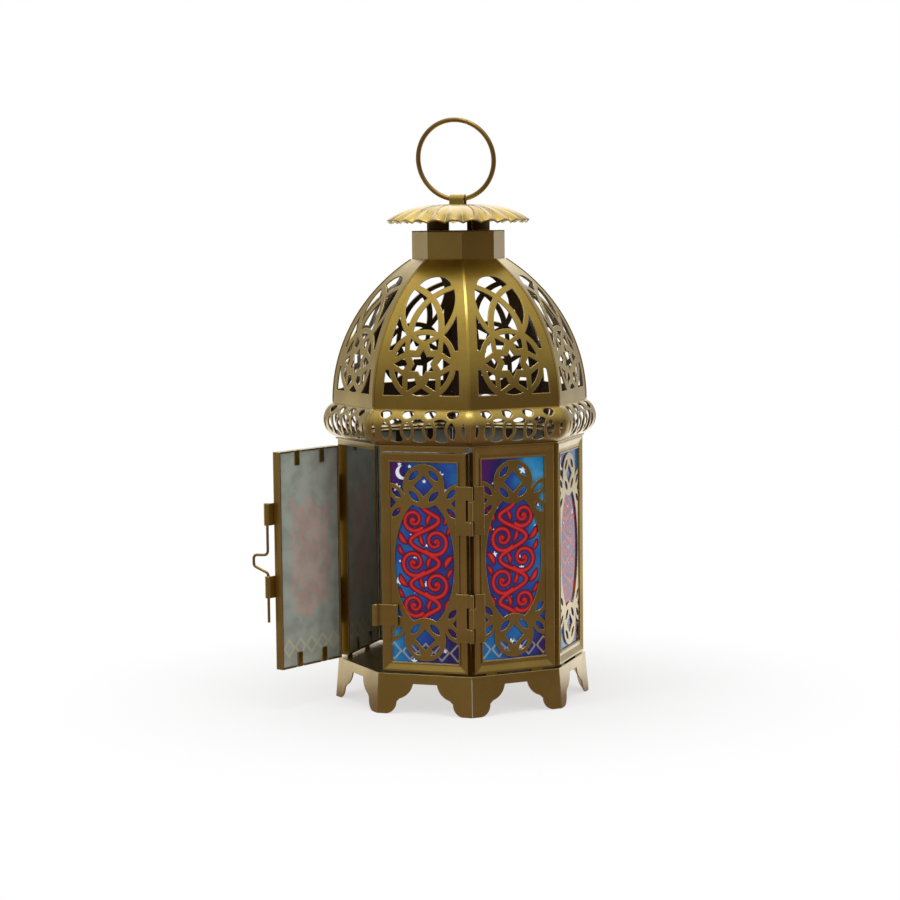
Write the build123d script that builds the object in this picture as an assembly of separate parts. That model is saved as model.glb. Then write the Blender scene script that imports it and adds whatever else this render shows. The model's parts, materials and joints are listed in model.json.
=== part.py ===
from build123d import *
import os
from math import asin, atan2, cos, degrees, radians, sin, sqrt, tan

# Eight-sided candle lantern of pierced sheet metal, with two doors, a dome, a cap and a ring.
# Millimetres, +Z up, origin on the standing plane at the centre of the feet.
# Facet 0 faces -Y and facets count anticlockwise; facet 0 and facet 7 are the doors.

# Sheet, wire and fits
sheet = 0.6
overrun = 5.0
running_fit = 0.05
seam = 0.04

# Facets
facets = 8
facet_turn = 360 / facets
half_turn = facet_turn / 2
side_slope = tan(radians(half_turn))

# Base stand
base_height = 17.4
floor_margin = 0.2
skirt_flare = 1.4
corner_slit = 0.12
arch_half = 5.5
arch_rise = 13.2
knee_out = 11.4
knee_rise = 6.7
step_out = 12.9
step_rise = 5.3
toe_out = 17.2
arch_sag = 0.9

# Candle cup and its rivet
cup_radius = 20.5
cup_height = 9.0
rivet_radius = 1.5
rivet_sink_radius = 2.6
rivet_head_radius = 3.0
rivet_head_height = 0.8

# Panels and doors
crest_apothem = 50.9
corner_gap = 0.03
panel_height = 97.1
panel_depth = 4.1
panel_border = 4.2
crest_width = 0.9
bead_width = 3.4
bead_height = 0.9
bead_round = 0.4
floor_gap = 0.9
lintel_drop = 2.1
door_top_gap = 0.5
door_side_gap = 0.12
glass_play = 0.15
tab_width = 3.0
tab_length = 6.4
tab_out = 8.0
notch_width = 1.0
notch_depth = 2.4
foot_tab_width = 5.0
foot_tab_out = 11.0

# Pierced pattern of a panel
medallion_radius = 9.4
medallion_inset = 10.0
diamond_half = 4.5
lens_length = 6.3
lens_width = 2.7
lens_out = 6.3
side_medallion_radius = 8.6
side_medallion_share = 0.93
side_medallion_out = 1.5
side_medallion_drop = 7.3
vase_half_width = 13.4
vase_end_gap = 5.95

# Hinges
hinge_height = 20.8
hinge_spacing = 46.0
hinge_pin_radius = 0.5
leaf_width = 4.7
knuckle_gap = 0.3
end_knuckle_share = 0.28
left_door_open = 65.0

# Latch
bolt_radius = 0.6
bolt_play = 0.25
guide_length = 9.5
keeper_length = 9.2
latch_leaf_width = 7.4
keeper_rise = 24.4
keeper_gap = 2.4
bolt_tip_inset = 0.9
bolt_end_gap = 0.5
handle_reach = 6.5
handle_slant = 3.1
handle_grip = 4.8
handle_bend = 1.7
handle_seat_gap = 0.18
lift_room = 11.2

# Rim plate and gallery band
rim_margin = 0.2
rim_width = 8.1
band_radius = 8.4
band_bulge = 4.5
band_drop = 8.0
band_corner_inset = 4.1
band_count = 4
band_strip_low = 1.6
band_strip_high = 11.6
almond_width = 3.8
almond_height = 7.6
almond_bar = 1.2
eyelet_half_width = 2.6
eyelet_half_depth = 1.5
eyelet_gap = 0.6
end_slit_shift = 0.3
end_slit_width = 1.6
end_slit_height = 7.0

# Dome petals
dome_overhang = 1.2
dome_rise = 16.0
dome_height = 62.0
dome_lip = 1.5
dome_shoulder = 0.7
petal_margin = 4.4
petal_foot = 4.8
rosette_height = 17.5
rosette_radius = 15.1
rosette_bar = 2.3
star_flat = 6.35
star_bar = 2.1
kite_tip = 6.7
heart_tip = 6.0
arch_centre_out = 17.9
arch_centre_rise = 13.3
arch_radius = 24.8
arch_bar = 2.7
leaf_centre_out = 9.4
leaf_centre_rise = 13.2
leaf_radius = 20.3
leaf_bar = 2.3
moon_rise = 7.7
moon_radius = 7.9
spandrel_top = 15.0
crescent_rise = 5.7

# Collar, vent sleeve and cap
collar_apothem = 18.9
collar_height = 11.8
sleeve_inset = 0.8
window_turn = 41.0
cap_clearance = 4.1
cap_radius = 31.0
cap_shoulder_radius = 27.0
cap_shoulder_rise = 3.1
cap_waist_radius = 15.2
cap_waist_rise = 6.2
cap_top_radius = 7.0
cap_rise = 7.4
flute_count = 24
flute_steps = 4
flute_depth = 0.55
flute_reach = 0.5
shoulder_flute_share = 0.7

# Strap and ring
ring_radius = 17.4
ring_wire_radius = 1.05
ring_play = 0.6
ring_lean = 8.0
ring_gap_turn = 0.9
ring_gap_at = 70.0
pivot_rise = 2.1
strap_width = 6.6
strap_tail = 2.6
slot_play = 0.15

# Derived heights and apothems
floor_apothem = crest_apothem + floor_margin
panel_bottom = base_height + floor_gap
panel_width = 2 * ((crest_apothem - panel_depth) * side_slope - corner_gap)
rim_bottom = panel_bottom + panel_height
rim_top = rim_bottom + sheet
rim_apothem = crest_apothem + rim_margin
rim_opening = rim_apothem - rim_width
door_width = panel_width - 2 * door_side_gap
door_height = panel_height - lintel_drop - door_top_gap
door_middle = panel_bottom + door_height / 2
field_apothem = crest_apothem - bead_height
glass_thickness = panel_depth - bead_height - 2 * sheet
dome_apothem = crest_apothem + dome_overhang
dome_base = rim_top + dome_rise
dome_top = dome_base + dome_height
band_corner_apothem = dome_apothem - band_corner_inset
band_straight = band_corner_apothem * side_slope
band_pitch = 2 * band_straight / band_count
dome_top_apothem = collar_apothem + dome_shoulder
collar_top = dome_top + collar_height
sleeve_radius = cap_waist_radius - sleeve_inset
cap_rim = collar_top + sheet + cap_clearance
cap_top = cap_rim + cap_rise
ring_pivot = cap_top + pivot_rise
hinge_outer_radius = hinge_pin_radius + running_fit + sheet
latch_outer_radius = bolt_radius + bolt_play + sheet
hinge_apothem = crest_apothem + hinge_outer_radius
latch_apothem = crest_apothem + latch_outer_radius
keeper_height = panel_bottom + keeper_rise
lower_guide_height = keeper_height + keeper_length / 2 + keeper_gap + guide_length / 2
bolt_tip_height = keeper_height - keeper_length / 2 + bolt_tip_inset
handle_turn = atan2(handle_reach, handle_slant)
handle_foot = lower_guide_height + guide_length / 2 + handle_seat_gap + handle_bend * tan(handle_turn / 2)
handle_low = handle_foot + handle_slant
handle_top = handle_low + handle_grip
upper_guide_height = handle_top + handle_bend + lift_room + guide_length / 2


def octagon(apothem):
    return RegularPolygon(apothem, facets, major_radius=False, rotation=half_turn)


def facet_plane(apothem, height=0):
    """Plane of facet 0: local x runs along the facet, local y up, and z outwards."""
    return Plane(origin=(0, -apothem, height), x_dir=(1, 0, 0), z_dir=(0, -1, 0))


def slab(sketch, apothem, height, depth):
    """Extrude a sketch drawn on facet 0 inwards from the given apothem."""
    return extrude(facet_plane(apothem, height) * sketch, -depth)


def on_facet(number, piece):
    return Rot(0, 0, facet_turn * number) * piece


def lens(width, height):
    """Upright pointed oval between two arcs."""
    radius = (width**2 + height**2) / (4 * width)
    offset = radius - width / 2
    return Pos(offset, 0) * Circle(radius) & Pos(-offset, 0) * Circle(radius)


def mirrored(sketch):
    return sketch + mirror(sketch, about=Plane.YZ)


# Base stand

def apron_outline():
    """Opening between two feet of one skirt face, drawn from the standing plane up."""
    toe = (toe_out, -overrun)
    heel = (toe_out, 0)
    step = (step_out, step_rise)
    knee = (knee_out, knee_rise)
    crown = (arch_half, arch_rise)
    heel_middle = ((toe_out + step_out) / 2 - arch_sag, step_rise / 2 - arch_sag)
    knee_middle = ((knee_out + arch_half) / 2 - arch_sag, (knee_rise + arch_rise) / 2 - arch_sag)
    edges = [
        Line((0, -overrun), toe),
        Line(toe, heel),
        ThreePointArc(heel, heel_middle, step),
        Line(step, knee),
        ThreePointArc(knee, knee_middle, crown),
        Line(crown, (0, arch_rise)),
        Line((0, arch_rise), (0, -overrun)),
    ]
    return mirrored(make_face(edges))


def base_stand():
    foot_apothem = floor_apothem + skirt_flare
    outside = loft([octagon(foot_apothem).face(), Pos(0, 0, base_height) * octagon(floor_apothem).face()])
    inside = loft([
        octagon(foot_apothem - sheet).face(),
        Pos(0, 0, base_height) * octagon(floor_apothem - sheet).face(),
    ])
    floor = Pos(0, 0, base_height - sheet) * extrude(octagon(floor_apothem), sheet)
    stand = outside - inside + floor
    arch = slab(apron_outline(), foot_apothem + overrun, 0, overrun + skirt_flare + overrun)
    slit_height = base_height - 2 * sheet
    slit = Pos(0, -foot_apothem / cos(radians(half_turn)), 0) * Box(
        corner_slit, overrun, slit_height, align=(Align.CENTER, Align.CENTER, Align.MIN)
    )
    for number in range(facets):
        stand -= on_facet(number, arch)
        stand -= on_facet(number + 1 / 2, slit)
    return stand - Cylinder(rivet_radius + running_fit, 2 * base_height + overrun)


def rivet_sink(play):
    """Sunk head of the rivet, flush with the cup's floor so that a candle stands flat on it."""
    align = (Align.CENTER, Align.CENTER, Align.MIN)
    return Cone(rivet_radius + play, rivet_sink_radius + play, sheet, align=align)


def candle_cup():
    cup = Cylinder(cup_radius, cup_height, align=(Align.CENTER, Align.CENTER, Align.MIN))
    hollow = Cylinder(cup_radius - sheet, cup_height, align=(Align.CENTER, Align.CENTER, Align.MIN))
    cup -= Pos(0, 0, sheet) * hollow
    return Pos(0, 0, base_height) * (cup - rivet_sink(running_fit))


def cup_rivet():
    align = (Align.CENTER, Align.CENTER, Align.MIN)
    rivet = Pos(0, 0, base_height) * rivet_sink(0)
    rivet += Pos(0, 0, base_height - sheet) * Cylinder(rivet_radius, sheet, align=align)
    head = Cylinder(rivet_head_radius, rivet_head_height, align=align)
    return rivet + Pos(0, 0, base_height - sheet - rivet_head_height) * head


# Panels, doors and glass

def medallion_openings(share):
    """Square on its corner with four lenses round it."""
    square_side = diamond_half * share * sqrt(2)
    openings = Rot(0, 0, 45) * Rectangle(square_side, square_side)
    for turn in (45, 135, 225, 315):
        place = Rot(0, 0, turn) * Pos(lens_out * share, 0)
        openings += place * lens(lens_width * share, lens_length * share)
    return openings


def panel_openings():
    """Pierced field of a panel: a vase between two medallions, half medallions and open corners."""
    half_width = door_width / 2 - panel_border
    half_height = door_height / 2 - panel_border
    field = Rectangle(2 * half_width, 2 * half_height)
    end = half_height - medallion_inset
    side = half_width + side_medallion_out
    corner_foot = end - side_medallion_drop / 2
    openings = field - Rectangle(2 * half_width, 2 * corner_foot)
    vase = Ellipse(vase_half_width, end - vase_end_gap)
    openings += vase
    for up in (1, -1):
        openings -= Pos(0, up * end) * Circle(medallion_radius)
        side_end = up * (end - side_medallion_drop)
        for out in (side, -side):
            whole = Pos(out, side_end) * Circle(side_medallion_radius)
            openings -= whole - vase
            openings += Pos(out, side_end) * medallion_openings(side_medallion_share) & field
        openings += Pos(0, up * end) * medallion_openings(1)
    return openings


def panel(width, height, foot_tabs):
    """Pressed pan: pierced sheet, sloping border, folded flanges and bent tabs that hold the glass."""
    middle = panel_bottom + height / 2
    outline = Rectangle(width, height)
    inside = Rectangle(width - 2 * sheet, height - 2 * sheet)
    pan = slab(outline, crest_apothem, middle, bead_height + sheet)
    crest_edges = pan.faces().sort_by(Axis.Y)[0].edges()
    pan = fillet(crest_edges, bead_round)
    dish = []
    for apothem, inset in ((crest_apothem, crest_width), (field_apothem, bead_width)):
        level = Rectangle(width - 2 * inset, height - 2 * inset)
        dish.append((facet_plane(apothem, middle) * level).face())
    pan -= loft(dish)
    pan += slab(outline - inside, field_apothem, middle, panel_depth - bead_height)
    pan -= slab(panel_openings(), crest_apothem, middle, bead_height + 2 * sheet)
    back = crest_apothem - panel_depth
    tab = Rectangle(tab_width, tab_length)
    notch = Rectangle(notch_width, 2 * sheet)
    notch_out = tab_width / 2 + notch_width / 2
    for up in (1, -1):
        for side in (1, -1):
            place = Pos(side * tab_out, up * (height - tab_length) / 2)
            pan += slab(place * tab, back + sheet, middle, sheet)
            for beside in (1, -1):
                place = Pos(side * tab_out + beside * notch_out, up * height / 2)
                pan -= slab(place * notch, back + notch_depth, middle, notch_depth)
    if foot_tabs:
        foot = Rectangle(foot_tab_width, floor_gap)
        for side in (1, -1):
            place = Pos(side * foot_tab_out, -(height + floor_gap) / 2)
            pan += slab(place * foot, field_apothem, middle, sheet)
    return pan


def glass_pane(width, height):
    shrink = 2 * (sheet + glass_play)
    outline = Rectangle(width - shrink, height - shrink)
    return slab(outline, field_apothem - sheet, panel_bottom + height / 2, glass_thickness)


# Hinges and latch: rolled sheet leaves on the outer face of the panels

def axis_out(apothem):
    """How far along the facet the corner line lies at this apothem."""
    return apothem * side_slope


def rolled_leaf(side, width, outer_radius, bore_radius, low, high, knuckles):
    """Leaf on facet 0 at its left (-1) or right (1) edge, rolled round the corner line."""
    edge = panel_width / 2
    inner = edge - width
    apothem = crest_apothem + outer_radius
    axis = axis_out(apothem)
    front = crest_apothem + sheet
    middle = (low + high) / 2
    plate = Pos(side * (inner + edge) / 2, 0) * Rectangle(edge - inner, high - low)
    leaf = slab(plate, front, middle, sheet)
    for bottom, top in knuckles:
        centre = (bottom + top) / 2
        strip = Pos(side * (edge + axis) / 2, 0) * Rectangle(axis - edge, top - bottom)
        leaf += slab(strip, front, centre, sheet)
        leaf += Pos(side * axis, -apothem, centre) * Cylinder(outer_radius, top - bottom)
    leaf -= Pos(side * axis, -apothem, middle) * Cylinder(bore_radius, high - low + overrun)
    return leaf


def hinge_knuckles(middle):
    """Knuckle spans of one hinge: the two of the door leaf and the one of the fixed leaf."""
    low = middle - hinge_height / 2
    high = middle + hinge_height / 2
    end = hinge_height * end_knuckle_share
    door = [(low, low + end), (high - end, high)]
    fixed = [(low + end + knuckle_gap, high - end - knuckle_gap)]
    return door, fixed


def hinge_leaf(side, middle, knuckles):
    return rolled_leaf(
        side,
        leaf_width,
        hinge_outer_radius,
        hinge_pin_radius + running_fit,
        middle - hinge_height / 2,
        middle + hinge_height / 2,
        knuckles,
    )


def hinge_pin(side, middle):
    place = Pos(side * axis_out(hinge_apothem), -hinge_apothem, middle)
    return place * Cylinder(hinge_pin_radius, hinge_height)


def latch_loop(side, middle, length):
    span = (middle - length / 2, middle + length / 2)
    bore_radius = bolt_radius + bolt_play
    return rolled_leaf(side, latch_leaf_width, latch_outer_radius, bore_radius, *span, [span])


def latch_bolt():
    """Wire bolt on the right corner line of facet 0, with a bent finger hold between its guides."""
    out = Vector(sin(radians(half_turn)), -cos(radians(half_turn)), 0) * handle_reach
    line = Vector(axis_out(latch_apothem), -latch_apothem, 0)
    top = upper_guide_height + guide_length / 2 - bolt_end_gap
    up = Vector(0, 0, 1)
    route = [
        line + up * bolt_tip_height,
        line + up * handle_foot,
        line + out + up * handle_low,
        line + out + up * handle_top,
        line + up * handle_top,
        line + up * top,
    ]
    path = FilletPolyline(*route, radius=handle_bend)
    return sweep(Plane(origin=path @ 0, z_dir=path % 0) * Circle(bolt_radius), path=path)


# Rim plate and gallery band

def rim_plate():
    """Eight-sided plate on the panels, folded down into a lintel over each door."""
    plate = Pos(0, 0, rim_bottom) * extrude(octagon(rim_apothem) - octagon(rim_opening), sheet)
    lintel = slab(Rectangle(door_width, lintel_drop), crest_apothem, rim_bottom - lintel_drop / 2, sheet)
    return plate + lintel + on_facet(facets - 1, lintel)


def band_section():
    """Half-round sheet section, from the rim plate out and up to the wall of the dome."""
    centre = dome_apothem + band_bulge - band_radius
    height = rim_top + band_drop
    inner_radius = band_radius - sheet
    low_angle = asin(band_drop / band_radius)
    foot = (-(centre + band_radius * cos(low_angle)), rim_top)
    out = (-(centre + band_radius), height)
    top = (-dome_apothem, height + sqrt(band_radius**2 - (dome_apothem - centre)**2))
    inner_foot = (-(centre + inner_radius * cos(low_angle)), height - inner_radius * sin(low_angle))
    inner_top = (-dome_apothem, height + sqrt(inner_radius**2 - (dome_apothem - centre)**2))
    edges = [
        ThreePointArc(foot, out, top),
        Line(top, inner_top),
        ThreePointArc(inner_top, (-(centre + inner_radius), height), inner_foot),
        Line(inner_foot, (inner_foot[0], rim_top)),
        Line((inner_foot[0], rim_top), foot),
    ]
    return Plane.YZ * make_face(edges)


def band_places():
    """Places along a facet of the upright ovals."""
    return [(number - (band_count - 1) / 2) * band_pitch for number in range(band_count)]


def band_openings():
    """Chain of upright ovals, the arched gaps between them and a slit at each end."""
    low = rim_top + band_strip_low
    high = rim_top + band_strip_high
    middle = Pos(0, (low + high) / 2)
    outs = band_places()
    gaps = [Pos(out + band_pitch / 2, 0) * Ellipse(band_pitch / 2, (high - low) / 2) for out in outs[:-1]]
    openings = gaps[0] + gaps[1:]
    for out in outs:
        openings -= Pos(out, 0) * lens(almond_width + 2 * almond_bar, almond_height + 4 * almond_bar)
    for out in outs:
        openings += Pos(out, 0) * lens(almond_width, almond_height)
    for side in (1, -1):
        openings += Pos(side * (band_straight + end_slit_shift), 0) * lens(end_slit_width, end_slit_height)
    return middle * openings


def band_length():
    section = band_section()
    length = extrude(section, band_straight, both=True)
    for side in (1, -1):
        corner = Axis((side * band_straight, -band_corner_apothem, 0), (0, 0, side))
        length += revolve(Pos(side * band_straight, 0, 0) * section, corner, half_turn)
    length -= slab(band_openings(), dome_apothem + band_bulge + overrun, 0, band_bulge + 2 * overrun)
    eyelet = extrude(Ellipse(eyelet_half_width, eyelet_half_depth), dome_rise)
    for out in band_places():
        length -= Pos(out, -(dome_apothem + eyelet_gap + eyelet_half_depth), rim_top + band_drop) * eyelet
    return length - Pos(0, 0, dome_base - dome_lip) * extrude(octagon(dome_apothem), dome_lip)


# Dome

dome_reach = dome_apothem - dome_top_apothem
dome_arc_radius = (dome_height**2 + dome_reach**2) / (2 * dome_reach)
dome_arc_centre = dome_apothem - dome_arc_radius
dome_arc_turn = degrees(asin(dome_height / dome_arc_radius))
dome_chord_lean = radians(dome_arc_turn / 2)


def petal_section():
    """Curved sheet section of one petal with a short upright lip at its foot."""
    inner_radius = dome_arc_radius - sheet
    lip = dome_base - dome_lip
    middle = radians(dome_arc_turn / 2)

    def on_arc(radius, turn):
        return (-(dome_arc_centre + radius * cos(turn)), dome_base + radius * sin(turn))

    top_outer = (-dome_top_apothem, dome_top)
    top_inner = (-(dome_arc_centre + sqrt(inner_radius**2 - dome_height**2)), dome_top)
    edges = [
        Line((-dome_apothem, lip), (-dome_apothem, dome_base)),
        ThreePointArc((-dome_apothem, dome_base), on_arc(dome_arc_radius, middle), top_outer),
        Line(top_outer, top_inner),
        ThreePointArc(top_inner, on_arc(inner_radius, middle), (-dome_apothem + sheet, dome_base)),
        Line((-dome_apothem + sheet, dome_base), (-dome_apothem + sheet, lip)),
        Line((-dome_apothem + sheet, lip), (-dome_apothem, lip)),
    ]
    return Plane.YZ * make_face(edges)


def petal_field():
    """Outline that the openings stay in, on the chord plane, the margin away from both seams."""
    steps = 12
    right = []
    for step in range(steps + 1):
        turn = radians(dome_arc_turn * step / steps)
        half_width = (dome_arc_centre + dome_arc_radius * cos(turn)) * side_slope - petal_margin
        along = dome_arc_radius * (sin(turn - dome_chord_lean) + sin(dome_chord_lean))
        if half_width > 0:
            right.append((half_width, along))
    left = [(-out, along) for out, along in reversed(right)]
    return make_face(Polyline(*right, *left, close=True))


def rosette_openings():
    """Segments along a ring, then six kites, then an open star at the heart."""

    def star(flat):
        triangle = RegularPolygon(2 * flat, 3)
        return triangle + Rot(0, 0, 180) * triangle

    star_edge = star_flat + star_bar
    kite_side = (2 * star_flat - star_edge) * tan(radians(30))
    kite = Polygon(
        (2 * star_flat, 0), (star_edge, kite_side), (kite_tip, 0), (star_edge, -kite_side), align=None
    )
    openings = Circle(rosette_radius - rosette_bar) - star(star_edge)
    for number in range(6):
        openings += Rot(0, 0, 60 * number) * kite
    return openings + Rot(0, 0, 30) * star(heart_tip / 2)


def petal_openings():
    """Half moon, two leaves, a pointed arch, two crescents, a star rosette and two spandrels."""
    field = petal_field()
    arch_centre_height = rosette_height + arch_centre_rise
    leaf_centre_height = arch_centre_height + leaf_centre_rise
    moon_height = leaf_centre_height + moon_rise
    crescent_foot = rosette_height + crescent_rise
    rosette_place = Pos(0, rosette_height)
    right_arch = Pos(-arch_centre_out, arch_centre_height)
    left_arch = Pos(arch_centre_out, arch_centre_height)
    wide = arch_radius + arch_bar / 2
    narrow = arch_radius - arch_bar / 2
    moon = Pos(0, moon_height) * Circle(moon_radius) - right_arch * Circle(wide) - left_arch * Circle(wide)
    arch = right_arch * Circle(narrow) & left_arch * Circle(narrow)
    arch -= rosette_place * Circle(rosette_radius)
    arch = arch & Pos(0, rosette_height + dome_height / 2) * Rectangle(2 * rosette_radius, dome_height)
    leaf_arc = Pos(-leaf_centre_out, leaf_centre_height)
    upper = Pos(0, crescent_foot + dome_height / 2) * Rectangle(4 * rosette_radius, dome_height)
    right_half = Pos(rosette_radius, dome_height / 2) * Rectangle(2 * rosette_radius, 2 * dome_height)
    leaf = leaf_arc * Circle(leaf_radius) & left_arch * Circle(narrow)
    leaf = leaf - right_arch * Circle(wide) & upper & right_half
    crescent = field - leaf_arc * Circle(leaf_radius + leaf_bar) - rosette_place * Circle(rosette_radius)
    crescent = crescent & upper & right_half
    crescent = crescent & Pos(0, leaf_centre_height / 2) * Rectangle(4 * rosette_radius, leaf_centre_height)
    spandrel_height = spandrel_top - petal_foot
    lower = Pos(0, petal_foot + spandrel_height / 2) * Rectangle(4 * rosette_radius, spandrel_height)
    spandrel = (field & lower & right_half) - rosette_place * Circle(rosette_radius)
    openings = moon + arch + rosette_place * rosette_openings()
    return openings + mirrored(leaf) + mirrored(crescent) + mirrored(spandrel)


def dome_petal():
    half_width = dome_apothem * side_slope + overrun
    petal = extrude(petal_section(), half_width, both=True)
    tip = seam / 2 / sin(radians(half_turn))
    far = dome_apothem + overrun
    half_far = (far - tip) * side_slope
    wedge = Polygon((0, -tip), (-half_far, -far), (half_far, -far), align=None)
    petal = petal & extrude(wedge, dome_top + overrun)
    chord = Plane(
        origin=(0, -dome_apothem, dome_base),
        x_dir=(1, 0, 0),
        z_dir=(0, -cos(dome_chord_lean), sin(dome_chord_lean)),
    )
    return petal - extrude(chord * petal_openings(), dome_arc_radius / 2, both=True)


# Collar, vent sleeve, cap, strap and ring

def collar():
    wall = octagon(collar_apothem) - octagon(collar_apothem - sheet)
    return Pos(0, 0, dome_top) * extrude(wall, collar_height)


def cap_height(radius):
    """Height of the cap's upper side above its rim, without the flutes."""
    rises = [(cap_radius, 0), (cap_shoulder_radius, cap_shoulder_rise), (cap_waist_radius, cap_waist_rise)]
    rises.append((cap_top_radius, cap_rise))
    for (outer, low), (inner, high) in zip(rises, rises[1:]):
        if inner <= radius <= outer:
            return low + (high - low) * (outer - radius) / (outer - inner)
    return cap_rise


def cap_ring(radius, flute_share, drop):
    """Points round the cap at one radius, waved in height and reach."""
    count = flute_count * flute_steps
    points = []
    for number in range(count):
        wave = flute_share * cos(radians(360 * number / flute_steps))
        turn = radians(360 * number / count)
        reach = radius + flute_reach * wave
        height = cap_rim + cap_height(radius) + flute_depth * wave - drop
        points.append((reach * cos(turn), reach * sin(turn), height))
    return points


def cap():
    rings = []
    for radius, flute_share in (
        (cap_radius, 1),
        (cap_shoulder_radius, shoulder_flute_share),
        (cap_waist_radius, 0),
        (cap_top_radius, 0),
    ):
        rings.append((cap_ring(radius, flute_share, 0), cap_ring(radius, flute_share, sheet)))
    count = flute_count * flute_steps
    faces = []

    def add_face(*points):
        faces.append(Face(Wire.make_polygon(points, close=True)))

    for (outer_up, outer_down), (inner_up, inner_down) in zip(rings, rings[1:]):
        for number in range(count):
            after = (number + 1) % count
            for outer, inner in ((outer_up, inner_up), (outer_down, inner_down)):
                add_face(outer[number], outer[after], inner[after])
                add_face(outer[number], inner[after], inner[number])
    rim_up, rim_down = rings[0]
    for number in range(count):
        after = (number + 1) % count
        add_face(rim_up[number], rim_up[after], rim_down[after], rim_down[number])
    top_up, top_down = rings[-1]
    add_face(*top_up)
    add_face(*top_down)
    shell = Solid(Shell(faces))
    slot = Box(strap_width + 2 * slot_play, sheet + 2 * slot_play, cap_rise)
    for side in (1, -1):
        shell -= Pos(0, side * strap_leg_out(), cap_top) * slot
    return shell


def strap_bore():
    return ring_wire_radius + ring_play


def strap_leg_out():
    return strap_bore() + sheet / 2


def vent_sleeve(cap_solid):
    """Plate on the collar with a castellated tube that carries the cap."""
    plate = Pos(0, 0, collar_top) * extrude(octagon(collar_apothem) - Circle(sleeve_radius - sheet), sheet)
    top = cap_rim + cap_height(sleeve_radius) - sheet / 2
    align = (Align.CENTER, Align.CENTER, Align.MIN)
    tube = Cylinder(sleeve_radius, top - collar_top, align=align)
    tube -= Cylinder(sleeve_radius - sheet, top - collar_top, align=align)
    half_window = radians(window_turn / 2)
    reach = sleeve_radius + overrun
    half_reach = reach * tan(half_window)
    window = Polygon((0, 0), (reach, -half_reach), (reach, half_reach), align=None)
    windows = extrude(window, top - collar_top)
    for number in range(4):
        tube -= Rot(0, 0, half_turn + 90 * number) * Pos(0, 0, sheet) * windows
    return plate + Pos(0, 0, collar_top) * tube - cap_solid


def strap():
    """Loop of sheet round the ring's wire, its legs through the cap and bent out below it."""
    bore = strap_bore()
    out = bore + sheet
    under = cap_top - sheet
    arch = Circle(out) - Circle(bore)
    arch = arch & Pos(0, out / 2) * Rectangle(2 * out, out)
    leg = Rectangle(sheet, ring_pivot - under + sheet, align=(Align.CENTER, Align.MAX))
    tail = Rectangle(strap_tail, sheet, align=(Align.MIN, Align.MAX))
    side = Pos(strap_leg_out(), 0) * leg + Pos(bore, under - ring_pivot) * tail
    section = arch + mirrored(side)
    across = Plane(origin=(0, 0, ring_pivot), x_dir=(0, 1, 0), z_dir=(1, 0, 0))
    return extrude(across * section, strap_width / 2, both=True)


def hanging_ring():
    """Wire ring standing up from the strap, open by a hair at its butt joint."""
    wire = Pos(ring_radius, 0, 0) * (Plane.XZ * Circle(ring_wire_radius))
    ring = revolve(wire, Axis.Z, 360 - ring_gap_turn)
    ring = Rot(0, 0, ring_gap_at) * ring
    upright = Pos(0, 0, ring_radius) * Rot(90, 0, 0) * ring
    return Pos(0, 0, ring_pivot) * Rot(ring_lean, 0, 0) * upright


def open_left_door(piece):
    """Swing a piece of the closed left door, built on facet 0, out to where it stands at rest."""
    axis = Pos(-axis_out(hinge_apothem), -hinge_apothem, 0)
    return on_facet(facets - 1, axis * Rot(0, 0, -left_door_open) * axis.inverse() * piece)


nodes = {}
nodes["base_stand"] = base_stand()
nodes["candle_cup"] = candle_cup()
nodes["cup_rivet"] = cup_rivet()

door_panel = panel(door_width, door_height, foot_tabs=False)
door_pane = glass_pane(door_width, door_height)
side_panel = panel(panel_width, panel_height, foot_tabs=True)
side_pane = glass_pane(panel_width, panel_height)
nodes["right_door"] = door_panel
nodes["right_door_pane"] = door_pane
nodes["left_door"] = open_left_door(door_panel)
nodes["left_door_pane"] = open_left_door(door_pane)
for number in range(1, facets - 1):
    nodes[f"side_panel_{number}"] = on_facet(number, side_panel)
    nodes[f"side_pane_{number}"] = on_facet(number, side_pane)

for name, middle in (
    ("upper", door_middle + hinge_spacing / 2),
    ("lower", door_middle - hinge_spacing / 2),
):
    door_knuckles, fixed_knuckles = hinge_knuckles(middle)
    nodes[f"right_{name}_hinge_door_leaf"] = hinge_leaf(1, middle, door_knuckles)
    nodes[f"right_{name}_hinge_fixed_leaf"] = on_facet(1, hinge_leaf(-1, middle, fixed_knuckles))
    nodes[f"right_{name}_hinge_pin"] = hinge_pin(1, middle)
    nodes[f"left_{name}_hinge_door_leaf"] = open_left_door(hinge_leaf(-1, middle, door_knuckles))
    nodes[f"left_{name}_hinge_fixed_leaf"] = on_facet(facets - 2, hinge_leaf(1, middle, fixed_knuckles))
    nodes[f"left_{name}_hinge_pin"] = on_facet(facets - 1, hinge_pin(-1, middle))

nodes["latch_upper_guide"] = open_left_door(latch_loop(1, upper_guide_height, guide_length))
nodes["latch_lower_guide"] = open_left_door(latch_loop(1, lower_guide_height, guide_length))
nodes["latch_bolt"] = open_left_door(latch_bolt())
nodes["latch_keeper"] = latch_loop(-1, keeper_height, keeper_length)

nodes["rim_plate"] = rim_plate()
band = band_length()
petal = dome_petal()
for number in range(facets):
    nodes[f"gallery_band_{number}"] = on_facet(number, band)
    nodes[f"dome_petal_{number}"] = on_facet(number, petal)

nodes["collar"] = collar()
nodes["cap"] = cap()
nodes["vent_sleeve"] = vent_sleeve(nodes["cap"])
nodes["ring_strap"] = strap()
nodes["hanging_ring"] = hanging_ring()

os.makedirs("parts", exist_ok=True)
for name, piece in nodes.items():
    export_step(piece, f"parts/{name}.step")
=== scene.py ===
import json
import math

import bmesh
import bpy
import numpy as np
from mathutils import Matrix, Quaternion, Vector

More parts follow.
